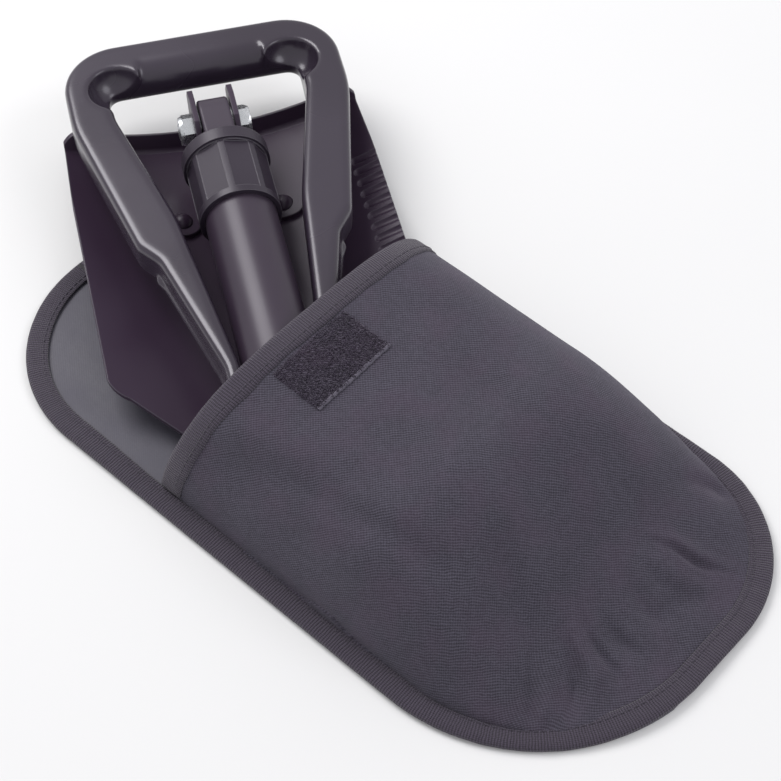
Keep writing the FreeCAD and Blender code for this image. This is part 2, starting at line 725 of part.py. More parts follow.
def make_loop_patch(front_panel):
    """Loop pad sewn to the front panel just behind the mouth tape."""
    column = plate([(127.5, 11.0, 1.0), (127.5, -31.0, 1.0), (153.0, -31.0, 1.0), (153.0, 11.0, 1.0)], 20, 80)
    lifted = front_panel.copy()
    lifted.translate(V(0, 0, PATCH_T))
    pad = lifted.common(column)
    pad = pad.cut(front_panel)
    return one(pad)


def make_hook_patch():
    """Hook pad on the inside of the flap, where it meets the loop pad when shut."""
    return plate([(28.0, 11.0, 1.0), (28.0, -31.0, 1.0), (53.5, -31.0, 1.0), (53.5, 11.0, 1.0)],
                 HEM_Z, HEM_Z + PATCH_T)


def build():
    puff, hollow = make_puff()
    front_panel = make_front_panel(puff, hollow)
    pouch = {
        "pouch_back_panel": make_back_panel(),
        "pouch_front_panel": front_panel,
        "pouch_edge_binding": make_edge_binding(puff),
        "pouch_mouth_binding": make_mouth_binding(front_panel),
        "loop_patch": make_loop_patch(front_panel),
        "hook_patch": make_hook_patch(),
    }
    parts = {name: place_pouch(shape) for name, shape in pouch.items()}
    parts.update({
        "blade": make_blade(),
        "hinge_bracket": make_bracket(),
        "bracket_rivets": make_rivets(),
        "fold_bolt": make_bolt(),
        "fold_nut": make_nut(),
        "fold_spacers": make_spacers(),
        "shaft_head": make_head(),
        "shaft_tube": make_tube(),
        "tail_block": make_tail_block(),
        "tube_spring_pins": make_spring_pins(),
        "lock_collar": make_collar(),
        "collar_ring": make_collar_ring(),
        "handle": make_handle(),
        "handle_pin": make_handle_pin(),
        "friction_washers": make_friction_washers(),
    })
    return parts


def main():
    os.makedirs(OUT, exist_ok=True)
    parts = build()
    whole = Part.makeCompound(list(parts.values()))
    box = whole.optimalBoundingBox(False, False)
    shift = V(-(box.XMin + box.XMax) / 2, -(box.YMin + box.YMax) / 2, -box.ZMin)
    print("footprint centre moved by", round(shift.x, 3), round(shift.y, 3), round(shift.z, 3))
    for name, shape in parts.items():
        shape.translate(shift)
        shape.exportStep(os.path.join(OUT, name + ".step"))
        if not shape.isValid():
            print("not valid:", name)
        print(name, len(shape.Solids), round(shape.Volume, 1))


main()
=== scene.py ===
import json
import math

import bpy
import numpy as np
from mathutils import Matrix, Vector
from mathutils.bvhtree import BVHTree


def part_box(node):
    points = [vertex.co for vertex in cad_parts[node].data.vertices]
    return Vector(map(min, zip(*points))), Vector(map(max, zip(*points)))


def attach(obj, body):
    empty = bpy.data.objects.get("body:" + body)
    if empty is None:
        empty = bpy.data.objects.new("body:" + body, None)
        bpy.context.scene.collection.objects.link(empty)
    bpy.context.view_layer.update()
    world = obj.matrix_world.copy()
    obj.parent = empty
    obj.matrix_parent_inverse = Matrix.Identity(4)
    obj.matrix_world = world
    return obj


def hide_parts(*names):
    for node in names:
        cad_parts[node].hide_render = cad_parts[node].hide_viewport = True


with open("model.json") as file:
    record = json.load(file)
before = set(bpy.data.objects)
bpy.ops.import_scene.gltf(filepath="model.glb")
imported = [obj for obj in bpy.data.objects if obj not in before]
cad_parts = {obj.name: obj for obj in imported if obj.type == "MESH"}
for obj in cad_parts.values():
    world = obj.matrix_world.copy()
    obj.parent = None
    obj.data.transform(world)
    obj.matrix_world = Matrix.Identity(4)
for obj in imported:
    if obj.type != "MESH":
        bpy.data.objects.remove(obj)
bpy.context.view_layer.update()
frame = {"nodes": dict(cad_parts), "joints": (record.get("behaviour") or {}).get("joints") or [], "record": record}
nodes = frame["nodes"]
record = frame["record"]
MM = 0.001


# ---- the pouch's own frame, in millimetres ----
# x runs along it from abreast of the fold bolt to the closed end, y across it from its middle
# line, and z up from the floor
draw_out = next(j for j in frame["joints"] if j["name"] == "draw_out")
rest_mount = next(m for m in record["mounts"] if m["name"] == "rest")
ALONG = -np.array(draw_out["axis"], float)
ACROSS = np.array([-ALONG[1], ALONG[0], 0.0])
UP = np.array([0.0, 0.0, 1.0])
REST_X, REST_Y = 200.0, -84.0                 # where the rest mount lies in the pouch's frame
ORIGIN = np.array(rest_mount["pos_m"]) - MM * (REST_X * ALONG + REST_Y * ACROSS)

HALF = 87.0                                   # half the pouch's width over the tape
FLAP_END, BOTTOM = -9.0, 325.5                # the pouch's two ends
FLAP_R, LEFT_R, RIGHT_R = 66.0, 85.0, 60.0    # corner radii of the outline
TAPE_W = 10.0                                 # width of the binding tape that shows
MOUTH_X, MOUTH_Z = 106.0, 54.6                # where the mouth's foot is, and how high it stands
MOUTH_LEAN = 0.2                              # the mouth leans back by this for each unit of height
PUFF_LEFT, PUFF_RIGHT = -77.4, 81.2           # feet of the puffed front, left and right
FULL_TO = 196.0                               # the front keeps its full height up to here
SEAM_Z = 2.5                                  # height of the front panel's foot


def placed(points):
    """Pouch millimetres to metres in the shared frame."""
    p = np.asarray(points, float) * MM
    return ORIGIN + p[..., :1] * ALONG + p[..., 1:2] * ACROSS + p[..., 2:3] * UP


def waves(x, y, seed, length, count=5):
    """Smooth uneven field of about unit height, with features about length wide."""
    rng = np.random.default_rng(seed)
    total = np.zeros(np.broadcast(x, y).shape)
    for _ in range(count):
        angle, phase = rng.uniform(0, 2 * math.pi, 2)
        size = length * rng.uniform(0.7, 1.6)
        total += np.sin(2 * math.pi * (x * math.cos(angle) + y * math.sin(angle)) / size + phase)
    return total / math.sqrt(count)


def bump_at(x, centre, width):
    """Bell curve of height one at centre."""
    return np.exp(-((x - centre) / width) ** 2)


def smooth_step(x, low, high):
    """Nothing up to low, one from high on, and a smooth ramp between."""
    t = np.clip((x - low) / (high - low), 0, 1)
    return t * t * (3 - 2 * t)


def along_line(x, y, start, end, width):
    """One along the line from start to end, fading out to its sides and at both ends."""
    dx, dy = end[0] - start[0], end[1] - start[1]
    far = math.hypot(dx, dy)
    share = ((x - start[0]) * dx + (y - start[1]) * dy) / far ** 2
    aside = ((x - start[0]) * dy - (y - start[1]) * dx) / far
    return bump_at(aside, 0, width) * smooth_step(share, -0.15, 0.25) * (1 - smooth_step(share, 0.7, 1.15))


# ---- mesh helpers ----
def mesh_piece(name, points, faces, uv, material):
    """One mesh piece of the pouch; uv is given in millimetres of cloth."""
    mesh = bpy.data.meshes.new(name)
    mesh.from_pydata([tuple(p) for p in points], [], [tuple(int(i) for i in f) for f in faces])
    layer = mesh.uv_layers.new(name="cloth")
    corner = np.zeros(len(mesh.loops), np.int32)
    mesh.loops.foreach_get("vertex_index", corner)
    layer.data.foreach_set("uv", np.asarray(uv, np.float32)[corner].ravel())
    mesh.polygons.foreach_set("use_smooth", np.ones(len(mesh.polygons), bool))
    mesh.validate()
    mesh.update()
    obj = bpy.data.objects.new(name, mesh)
    bpy.context.scene.collection.objects.link(obj)
    mesh.materials.append(material)
    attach(obj, "pouch")
    return obj


def grid_faces(rows, cols, close_rows=False, close_cols=False, start=0):
    """Quads of a grid of rows by cols points; either way can close on itself."""
    faces = []
    for i in range(rows if close_rows else rows - 1):
        j = (i + 1) % rows
        for k in range(cols if close_cols else cols - 1):
            m = (k + 1) % cols
            faces.append((start + i * cols + k, start + j * cols + k,
                          start + j * cols + m, start + i * cols + m))
    return faces


def rim_faces(rows, cols):
    """Quads that join the rims of two grids stored one after the other."""
    rim = [(0, k) for k in range(cols)] + [(i, cols - 1) for i in range(1, rows)]
    rim += [(rows - 1, k) for k in range(cols - 2, -1, -1)] + [(i, 0) for i in range(rows - 2, 0, -1)]
    ids = [i * cols + k for i, k in rim]
    size = rows * cols
    return [(a, b, b + size, a + size) for a, b in zip(ids, ids[1:] + ids[:1])]


def shell_faces(rows, cols):
    """Faces of a closed sheet: its outer grid, its inner grid and the rim between them."""
    outer = [face[::-1] for face in grid_faces(rows, cols)]
    return outer + grid_faces(rows, cols, start=rows * cols) + rim_faces(rows, cols)


def upward_normals(grid):
    """Unit normals of a grid of points (rows, cols, 3), turned to point up."""
    along = np.gradient(grid, axis=0)
    across = np.gradient(grid, axis=1)
    n = np.cross(along, across)
    n /= np.maximum(np.linalg.norm(n, axis=-1, keepdims=True), 1e-9)
    return n * np.where(n[..., 2:3] < 0, -1, 1)


def lengths_along(path):
    """Distance from the start to each point of a path."""
    steps = np.linalg.norm(np.diff(path, axis=0), axis=1)
    return np.concatenate([[0.0], np.cumsum(steps)])


def point_at(distance, lengths, path):
    """Point at a distance along a path, where lengths holds the distance to each of its points."""
    return np.array([np.interp(distance, lengths, path[:, axis]) for axis in range(3)])


# ---- material helpers ----
class Graph:
    """A material's node tree, with short ways to add nodes."""

    def __init__(self, name):
        self.material = bpy.data.materials.new(name)
        self.material.use_nodes = True
        self.tree = self.material.node_tree
        self.shader = self.tree.nodes["Principled BSDF"]

    def add(self, kind, **settings):
        node = self.tree.nodes.new(kind)
        for key, value in settings.items():
            setattr(node, key, value)
        return node

    def put(self, value, socket):
        if hasattr(value, "is_output"):
            self.tree.links.new(value, socket)
        else:
            socket.default_value = value

    def math(self, operation, a, b=0.0, clamp=False):
        node = self.add("ShaderNodeMath", operation=operation, use_clamp=clamp)
        self.put(a, node.inputs[0])
        self.put(b, node.inputs[1])
        return node.outputs[0]

    def times(self, value, factor):
        return self.math("MULTIPLY", value, factor)

    def total(self, first, *others):
        """The values added up in turn."""
        for value in others:
            first = self.math("ADD", first, value)
        return first

    def centred(self, value, factor, middle=0.5):
        """How far a value is from its middle, times a factor."""
        return self.times(self.math("SUBTRACT", value, middle), factor)

    def wave(self, value, length):
        """Sine wave that crosses zero at every length."""
        return self.math("SINE", self.times(value, math.pi / length))

    def ramp(self, value, low, high, to_low, to_high):
        node = self.add("ShaderNodeMapRange", interpolation_type="SMOOTHSTEP")
        for name, v in (("Value", value), ("From Min", low), ("From Max", high),
                        ("To Min", to_low), ("To Max", to_high)):
            self.put(v, node.inputs[name])
        return node.outputs[0]

    def noise(self, where, scale, detail=3.0, rough=0.55):
        node = self.add("ShaderNodeTexNoise")
        self.put(where, node.inputs["Vector"])
        node.inputs["Scale"].default_value = scale
        node.inputs["Detail"].default_value = detail
        node.inputs["Roughness"].default_value = rough
        return node.outputs["Fac"]

    def mix(self, share, a, b):
        node = self.add("ShaderNodeMix", data_type="RGBA")
        self.put(share, node.inputs[0])
        for value, socket in ((a, node.inputs[6]), (b, node.inputs[7])):
            self.put((*value, 1.0) if isinstance(value, tuple) else value, socket)
        return node.outputs[2]

    def bump(self, height, strength, distance, before=None):
        node = self.add("ShaderNodeBump")
        self.put(height, node.inputs["Height"])
        node.inputs["Strength"].default_value = strength
        node.inputs["Distance"].default_value = distance
        if before is not None:
            self.put(before, node.inputs["Normal"])
        return node.outputs["Normal"]

    def rounded(self, radius, samples):
        """Normal of the surface with its edges rounded to a radius in millimetres."""
        node = self.add("ShaderNodeBevel", samples=samples)
        node.inputs["Radius"].default_value = radius * MM
        return node.outputs[0]

    def cloth_uv(self):
        """Place on the cloth in millimetres: as one vector, along and across."""
        split = self.add("ShaderNodeSeparateXYZ")
        uv = self.add("ShaderNodeUVMap", uv_map="cloth")
        self.put(uv.outputs[0], split.inputs[0])
        return uv.outputs[0], split.outputs[0], split.outputs[1]

    def object_place(self):
        return self.add("ShaderNodeTexCoord").outputs["Object"]

    def finish(self, **sockets):
        """Links or sets the shader's own sockets, with _ for a space in their names."""
        for name, value in sockets.items():
            self.put(value, self.shader.inputs[name.replace("_", " ")])
        return self.material


def woven(name, dark, light, pitch, depth, sheen, roughness):
    """Basket weave of coarse yarns: crossings pitch millimetres apart aslant, each a little uneven."""
    g = Graph(name)
    uv, u, v = g.cloth_uv()
    wobble = g.noise(uv, 0.12, 2.0)
    drift = g.times(g.noise(uv, 0.5, 3.0, 0.6), 0.3)
    u = g.total(g.times(wobble, 1.6), drift, u)
    v = g.total(g.times(wobble, -1.3), drift, v)
    yarn = pitch * math.sqrt(0.5)
    crossing = g.times(g.wave(u, yarn), g.wave(v, yarn))
    aslant = g.math("SUBTRACT", u, v)
    ridge = g.math("COSINE", g.times(aslant, math.pi / yarn))
    height = g.total(g.times(ridge, 0.16), g.times(crossing, 0.42), 0.5)
    fluff = g.noise(uv, 1.2, 5.0, 0.72)
    slub = g.noise(uv, 0.33, 3.0, 0.6)
    cloud = g.noise(uv, 0.03, 4.0, 0.6)
    # painted shade: the weave's height lightens the yarns' crests and darkens the hollows between them; fluff,
    # slubs and clouds vary the tone at random
    tone = g.total(g.times(height, 0.75), g.centred(fluff, 1.4), g.centred(slub, 0.5),
                   g.centred(cloud, 0.35))
    tone = g.math("ADD", tone, 0.05, clamp=True)
    colour = g.mix(tone, dark, light)
    tint = g.noise(uv, 0.05, 3.0, 0.5)
    plum = tuple(c * k for c, k in zip(light, (0.9, 0.62, 0.75)))
    colour = g.mix(g.ramp(tint, 0.4, 0.7, 0.0, 0.22), colour, plum)
    relief = g.total(height, g.times(fluff, 0.9))
    normal = g.bump(relief, 0.8, depth * MM)
    rough = g.ramp(fluff, 0.2, 0.8, roughness - 0.06, roughness + 0.06)
    return g.finish(Base_Color=colour, Roughness=rough, Normal=normal, Sheen_Weight=sheen,
                    Sheen_Roughness=0.45, Sheen_Tint=(0.80, 0.76, 0.88, 1.0), Specular_IOR_Level=0.2)


def ribbed(name, dark, light, pitch, depth):
    """Grosgrain tape: ribs across it, a little uneven, fuzzy at the crests."""
    g = Graph(name)
    uv, u, v = g.cloth_uv()
    wobble = g.noise(uv, 0.25, 2.0)
    rib = g.math("ABSOLUTE", g.wave(g.total(u, wobble), pitch))
    yarn = g.math("ABSOLUTE", g.wave(v, 0.75))
    fluff = g.noise(uv, 1.3, 4.0, 0.7)
    height = g.total(rib, g.times(yarn, 0.5))
    # painted shade: the ribs' and yarns' height lightens their crests and darkens the hollows between them; the
    # fluff varies the tone at random
    tone = g.math("ADD", g.times(height, 0.5), g.centred(fluff, 0.9, 0.4), clamp=True)
    colour = g.mix(tone, dark, light)
    normal = g.bump(g.total(height, g.times(fluff, 0.6)), 0.85, depth * MM)
    return g.finish(Base_Color=colour, Roughness=g.ramp(fluff, 0.2, 0.8, 0.72, 0.86), Normal=normal,
                    Sheen_Weight=0.2, Specular_IOR_Level=0.2)


def coated_lining(name):
    """Smooth coated side of the cloth: the weave shows only faintly."""
    g = Graph(name)
    uv, u, v = g.cloth_uv()
    cloud = g.noise(uv, 0.028, 4.0, 0.6)
    speck = g.noise(uv, 0.9, 3.0, 0.6)
    weave = g.times(g.wave(u, 0.55), g.wave(v, 0.55))
    tone = g.math("ADD", g.times(cloud, 0.6), g.times(speck, 0.35), clamp=True)
    colour = g.mix(tone, (0.052, 0.048, 0.064), (0.105, 0.1, 0.132))
    relief = g.total(g.times(weave, 0.3), g.times(speck, 0.8))
    normal = g.bump(relief, 0.4, 0.14 * MM)
    normal = g.bump(cloud, 0.5, 1.2 * MM, normal)
    return g.finish(Base_Color=colour, Roughness=g.ramp(cloud, 0.3, 0.7, 0.5, 0.64), Normal=normal,
                    Sheen_Weight=0.06)


def hard(name, base, light, rim, roughness, grain_scale, grain_depth, radius=0.7, coat=0.0, shine=0.5):
    """Painted or moulded surface: fine grain, faint uneven sheen, and a painted highlight in the rim's lighter
    colour along its edges.
    """
    g = Graph(name)
    where = g.object_place()
    cloud = g.noise(where, 14.0, 2.0, 0.5)
    fine = g.noise(where, grain_scale, 3.0, 0.6)
    colour = g.mix(g.ramp(cloud, 0.3, 0.7, 0.0, 1.0), base, light)
    rough = g.ramp(cloud, 0.3, 0.7, roughness - 0.03, roughness + 0.03)
    edge = g.rounded(radius, 6)
    facing = g.add("ShaderNodeVectorMath", operation="DOT_PRODUCT")
    g.put(edge, facing.inputs[0])
    g.put(g.add("ShaderNodeNewGeometry").outputs["True Normal"], facing.inputs[1])
    turned = g.math("SUBTRACT", 1.0, facing.outputs["Value"])
    # painted highlight: where the rounded normal turns away from the true normal, at the edges, the colour goes
    # over to the lighter rim colour
    colour = g.mix(g.ramp(turned, 0.02, 0.16, 0.0, 0.6), colour, rim)
    normal = g.bump(fine, 0.3, grain_depth * MM, edge)
    return g.finish(Base_Color=colour, Roughness=rough, Normal=normal, Coat_Weight=coat,
                    Coat_Roughness=0.22, Specular_IOR_Level=shine, Specular_Tint=(0.95, 0.93, 1.0, 1.0))


def plated(name):
    """Bright zinc plating with fine marks."""
    g = Graph(name)
    where = g.object_place()
    cloud = g.noise(where, 160.0, 4.0, 0.6)
    marks = g.noise(where, 900.0, 3.0, 0.7)
    colour = g.mix(cloud, (0.55, 0.57, 0.6), (0.82, 0.83, 0.85))
    normal = g.bump(marks, 0.12, 0.05 * MM, g.rounded(0.35, 4))
    return g.finish(Base_Color=colour, Roughness=g.ramp(marks, 0.3, 0.7, 0.16, 0.34), Normal=normal,
                    Metallic=0.9)


cloth = woven("front_cloth", dark=(0.03, 0.0265, 0.037), light=(0.092, 0.085, 0.114),
              pitch=1.05, depth=0.22, sheen=0.16, roughness=0.86)
pile = woven("loop_pile", dark=(0.012, 0.009, 0.0155), light=(0.08, 0.065, 0.098),
             pitch=0.9, depth=0.6, sheen=0.3, roughness=0.95)
tape_cloth = ribbed("tape_cloth", dark=(0.009, 0.007, 0.011), light=(0.09, 0.074, 0.106),
                    pitch=1.2, depth=0.42)
thread = ribbed("thread", dark=(0.012, 0.0095, 0.0145), light=(0.085, 0.073, 0.1),
                pitch=0.5, depth=0.1)
selvedge_cloth = ribbed("selvedge", dark=(0.04, 0.035, 0.048), light=(0.17, 0.155, 0.2),
                        pitch=0.5, depth=0.1)
lining = coated_lining("lining")
# rim in each call below is the colour of the painted highlight along that part's edges
hooks = hard("moulded_hooks", base=(0.02, 0.018, 0.023), light=(0.026, 0.024, 0.03),
             rim=(0.05, 0.05, 0.055), roughness=0.6, grain_scale=1500.0, grain_depth=0.4)
blade_paint = hard("blade_paint", base=(0.031, 0.0175, 0.035), light=(0.036, 0.022, 0.041),
                   rim=(0.12, 0.115, 0.135), roughness=0.36, grain_scale=1100.0, grain_depth=0.03,
                   radius=0.9, coat=0.05, shine=0.32)
tube_paint = hard("tube_paint", base=(0.031, 0.02, 0.035), light=(0.037, 0.026, 0.042),
                  rim=(0.11, 0.105, 0.12), roughness=0.4, grain_scale=1100.0, grain_depth=0.03,
                  radius=0.6, coat=0.08, shine=0.5)
nylon = hard("collar_nylon", base=(0.023, 0.0165, 0.0275), light=(0.03, 0.0225, 0.035),
             rim=(0.19, 0.18, 0.205), roughness=0.38, grain_scale=1500.0, grain_depth=0.05,
             radius=0.6, coat=0.05, shine=0.45)
grip_nylon = hard("grip_nylon", base=(0.023, 0.016, 0.0275), light=(0.029, 0.021, 0.035),
                  rim=(0.12, 0.11, 0.135), roughness=0.25, grain_scale=1500.0, grain_depth=0.05,
                  radius=0.8, coat=0.25, shine=0.6)
zinc = plated("zinc")

FINISHES = {                                  # material slot of the record to material
    "blade_paint": blade_paint, "tube_paint": tube_paint, "collar_nylon": nylon,
    "handle_nylon": grip_nylon, "zinc_steel": zinc, "hook_pad": hooks,
}
for row in record["subparts"]:
    finish_for = FINISHES.get(row["material_slot"])
    if finish_for is not None:
        part = nodes[row["node"]]
        part.data.materials.clear()
        part.data.materials.append(finish_for)


SHARP_ANGLE = 32.0                            # faces that meet at more degrees keep a crisp edge


def shade_hard(part):
    """Smooth shading with crisp edges."""
    part.data.polygons.foreach_set("use_smooth", np.ones(len(part.data.polygons), bool))
    part.data.set_sharp_from_angle(angle=math.radians(SHARP_ANGLE))


for body in ("blade", "shaft", "collar_ring", "collar", "handle"):
    for node in record["behaviour"]["bodies"][body]:
        shade_hard(nodes[node])


MELT_VOXEL = 0.7                              # grain of the handle's rounded mesh, in millimetres
MELT_PASSES = 26


def round_off(part):
    """Gives a moulded part the soft radii of its edges with modifiers; its mesh stays as it is."""
    blend = part.modifiers.new("blend", "REMESH")
    blend.mode = "VOXEL"
    blend.voxel_size = MELT_VOXEL * MM
    blend.use_smooth_shade = True
    relax = part.modifiers.new("relax", "SMOOTH")
    relax.factor = 0.5
    relax.iterations = MELT_PASSES


round_off(nodes["handle"])


# ---- the pouch's outline ----
OUTLINE_STEP = 2.0                            # spacing of the points round the edge


def side_at(x, side):
    """Distance from the middle line to the outline at x, on the right (1) or left (-1)."""
    x = np.asarray(x, float)
    end_r = RIGHT_R if side > 0 else LEFT_R
    flap = np.clip(FLAP_R - (x - FLAP_END), 0, FLAP_R)
    end = np.clip(end_r - (BOTTOM - x), 0, end_r)
    return HALF - (FLAP_R - np.sqrt(FLAP_R ** 2 - flap ** 2)) - (end_r - np.sqrt(end_r ** 2 - end ** 2))


def outline_path():
    """Closed outline of the pouch: evenly spaced points, outward directions and distances."""
    corners = [
        ((FLAP_END + FLAP_R, -HALF + FLAP_R), FLAP_R, 180, 270),
        ((BOTTOM - LEFT_R, -HALF + LEFT_R), LEFT_R, 270, 360),
        ((BOTTOM - RIGHT_R, HALF - RIGHT_R), RIGHT_R, 0, 90),
        ((FLAP_END + FLAP_R, HALF - FLAP_R), FLAP_R, 90, 180),
    ]
    dense = []
    for (cx, cy), r, a0, a1 in corners:
        for a in np.radians(np.linspace(a0, a1, 60)):
            dense.append((cx + r * math.cos(a), cy + r * math.sin(a)))
    dense = np.array(dense + dense[:1])
    far = lengths_along(dense)
    count = int(far[-1] / OUTLINE_STEP)
    at = np.linspace(0, far[-1], count, endpoint=False)
    path = np.stack([np.interp(at, far, dense[:, 0]), np.interp(at, far, dense[:, 1])], 1)
    ahead = np.roll(path, -1, 0) - np.roll(path, 1, 0)
    ahead /= np.linalg.norm(ahead, axis=1, keepdims=True)
    out = np.stack([ahead[:, 1], -ahead[:, 0]], 1)
    return path, out, at


def edge_lift(x, y):
    """How far the pouch's rim stands off the floor: a little, unevenly, most at the closed end."""
    share = 0.25 + 0.75 * smooth_step(x, 180, 310)
    return share * np.clip(0.45 + 0.55 * waves(x, y, 11, 95), 0, 1.3)


# ---- edge tape: one strip folded round the rim, all the way round ----
LEAST_Z = 0.02                                # nothing of the tape comes nearer to the floor
TAPE_SECTION = [                              # distance in from the edge and height, round the strip
    (10.0, 0.05), (6.0, 0.0), (2.4, 0.0), (0.9, 0.35), (0.15, 1.1), (0.0, 1.9), (0.35, 2.75),
    (1.3, 3.3), (3.5, 3.42), (6.5, 3.38), (9.2, 3.3), (10.0, 3.05), (9.9, 2.75), (6.0, 2.7),
    (2.2, 2.6), (1.0, 2.2), (0.8, 1.6), (1.1, 0.95), (3.0, 0.6), (9.0, 0.6),
]


def make_edge_tape():
    """The tape's piece, and its rows of points, one row for each place round the edge."""
    path, out, at = outline_path()
    section = np.array(TAPE_SECTION)
    ring = lengths_along(section)
    rows = []
    uv = []
    for (x, y), (ox, oy), s in zip(path, out, at):
        inset = section[:, 0] + 0.35 * waves(x, y, 3, 60) * (section[:, 0] > 5)
        rise = section[:, 1] + edge_lift(x, y) + 0.10 * waves(x, y, 5, 9)
        rise = np.maximum(rise, LEAST_Z)
        rows.append(np.stack([x - ox * inset, y - oy * inset, rise], 1))
        uv.append(np.stack([np.full(len(section), s), ring], 1))
    rows = np.array(rows)
    count, per = rows.shape[:2]
    faces = grid_faces(count, per, close_rows=True, close_cols=True)
    uv = np.array(uv)
    tape = mesh_piece("pouch_tape", placed(rows).reshape(-1, 3), faces, uv.reshape(-1, 2), tape_cloth)
    return tape, rows


# ---- back panel ----
BACK_ROWS, BACK_COLS = 130, 90
BACK_INSET, BACK_END_INSET = 1.3, 1.6         # from the outline to the sheet's edge: sides, ends
BACK_Z, BACK_T = 1.75, 1.2                    # height of the sheet's upper face, and its thickness
BACK_LEAST_Z = 0.3


def make_back_panel():
    """Cloth sheet under everything: its coated side shows on the flap."""
    share = 0.5 - 0.5 * np.cos(np.linspace(0, math.pi, BACK_ROWS))
    along = FLAP_END + BACK_END_INSET + (BOTTOM - FLAP_END - 2 * BACK_END_INSET) * share
    across = np.linspace(-1, 1, BACK_COLS)
    grid = np.zeros((BACK_ROWS, BACK_COLS, 3))
    for i, x in enumerate(along):
        left, right = side_at(x, -1) - BACK_INSET, side_at(x, 1) - BACK_INSET
        y = np.where(across < 0, across * left, across * right)
        grid[i, :, 0], grid[i, :, 1] = x, y
    x, y = grid[..., 0], grid[..., 1]
    inner = smooth_step(np.minimum(HALF - np.abs(y), x - FLAP_END), 9, 22)
    flap = 1 - smooth_step(x, 90, 125)
    ripple = 0.28 * waves(x, y, 21, 48) + 0.1
    grid[..., 2] = BACK_Z + edge_lift(x, y) * (1 - inner) + flap * inner * ripple
    under = grid.copy()
    under[..., 2] = np.maximum(grid[..., 2] - BACK_T, BACK_LEAST_Z)
    points = np.concatenate([grid.reshape(-1, 3), under.reshape(-1, 3)])
    uv = np.concatenate([grid[..., :2].reshape(-1, 2)] * 2)
    return mesh_piece("pouch_back", placed(points), shell_faces(BACK_ROWS, BACK_COLS), uv, lining)


# ---- front panel ----
ROWS, COLS = 180, 200
FRONT_END = BOTTOM - TAPE_W + 1.4             # where the front panel ends, under the tape
FRONT_T = 0.8
NARROWS_FROM, NARROWS_TO = 236, 292           # the puffed right foot draws in to the seam here
CREASES = 10                                  # creases gathered into the closed end's seam
FOLDS = (                                     # start, end, width and height of each soft fold
    ((118, -72), (195, -44), 7.0, -1.5), ((122, -60), (190, -33), 8.0, 0.8),
    ((241, -24), (288, -44), 7.0, -2.0), ((236, -40), (280, -58), 8.0, 1.0),
    ((296, 14), (313, 33), 3.2, -2.4), ((302, 28), (321, 15), 2.8, -2.0), ((299, -18), (312, -37), 3.2, -2.2),
    ((175, 20), (262, 6), 13.0, -1.0),
)


def front_surface():
    """Grid of the front panel from the mouth to the closed end, left foot to right foot."""
    rows = np.linspace(0, 1, ROWS)
    rows = 0.72 * rows + 0.28 * np.sin(rows * math.pi / 2)          # closer together at the end
    across = -np.cos(np.linspace(0, math.pi, COLS))
    foot, end_top = SEAM_Z + 0.05, SEAM_Z + 0.9
    grid = np.zeros((ROWS, COLS, 3))
    for i, x in enumerate(MOUTH_X + (FRONT_END - MOUTH_X) * rows):
        tucked_l = -(side_at(x, -1) - TAPE_W + 0.9)
        tucked_r = side_at(x, 1) - TAPE_W + 0.9
        over = 1 - smooth_step(x, NARROWS_FROM, NARROWS_TO)
        left = max(PUFF_LEFT, tucked_l)
        right = tucked_r + (PUFF_RIGHT + 1.0 - tucked_r) * over
        middle, half = (left + right) / 2, (right - left) / 2
        share = np.clip((x - FULL_TO) / (FRONT_END - FULL_TO), 0, 1)
        fall = 0.5 + 0.5 * math.cos(math.pi * share)
        top = end_top + (MOUTH_Z - SEAM_Z - 0.9) * fall
        power = 3.3 - 1.0 * share                                   # boxy at the mouth, rounder later
        rise = np.sqrt(np.maximum(0, 1 - np.abs(across) ** power))
        z = foot + (top - foot) * rise
        grid[i, :, 0] = x + MOUTH_LEAN * (z - SEAM_Z)
        grid[i, :, 1] = middle + across * half
        grid[i, :, 2] = z
    return grid


def soften_front(grid):
    """Adds what filled cloth does: shallow sags, long folds, puckers along the end seam."""
    x, y, z = grid[..., 0], grid[..., 1], grid[..., 2]
    n = upward_normals(grid)
    free = smooth_step(z, 4, 22)
    behind = smooth_step(x, 116, 150)
    calm = 1 - 0.8 * smooth_step(y, 30, 66)
    push = 1.5 * waves(x, y, 31, 120) * behind * calm
    push += 0.5 * waves(x, y, 37, 46) * behind * calm
    # sag between the tube and the legs of the handle, behind the mouth
    for middle, width, depth in ((-34, 16, 1.5), (34, 15, 1.0)):
        sag = depth * bump_at(y, middle, width) * smooth_step(x, 112, 135)
        push -= sag * (1 - smooth_step(x, 170, 230))
    # long soft crease down the left side, with a low ridge beside it
    line = y + 62 - 0.16 * (x - 150)
    for middle, width, height in ((0, 5.0, -2.0), (9, 6.0, 0.9)):
        crease = height * bump_at(line, middle, width) * smooth_step(x, 140, 165)
        push += crease * (1 - smooth_step(x, 215, 250))
    # puckers where the end is gathered into the tape, round a point on the middle line
    reach = np.hypot(np.maximum(x - NARROWS_FROM, 0), y * 0.9)
    angle = np.arctan2(y, np.maximum(x - NARROWS_FROM, 1e-3))
    near_end = smooth_step(x, 250, NARROWS_TO)
    rim = np.exp(-((z - 9) / 10.0) ** 2) * near_end
    pucker = 0.9 * near_end * waves(x, y, 43, 30)
    rng = np.random.default_rng(53)
    turned = angle + 0.05 * waves(x, y, 41, 40)
    for k in range(CREASES):
        where = -1.35 + 2.7 * (k + rng.uniform(0.15, 0.85)) / CREASES
        width, depth = rng.uniform(0.03, 0.06), rng.uniform(1.2, 3.2)
        pucker -= depth * rim * bump_at(turned, where, width)
        pucker += 0.55 * depth * rim * bump_at(turned, where + 1.7 * width, 1.6 * width)
    pucker *= smooth_step(reach, 30, 60)
    for start, end, width, height in FOLDS:
        pucker += height * along_line(x, y, start, end, width)
    push = push * free + pucker * smooth_step(z, 3.4, 8)
    return grid + n * push[..., None]


def inner_skin(grid):
    """The cloth's inner face, which stays over the back panel."""
    inside = grid - upward_normals(grid) * FRONT_T
    inside[..., 2] = np.maximum(inside[..., 2], BACK_Z + 0.15)
    return inside


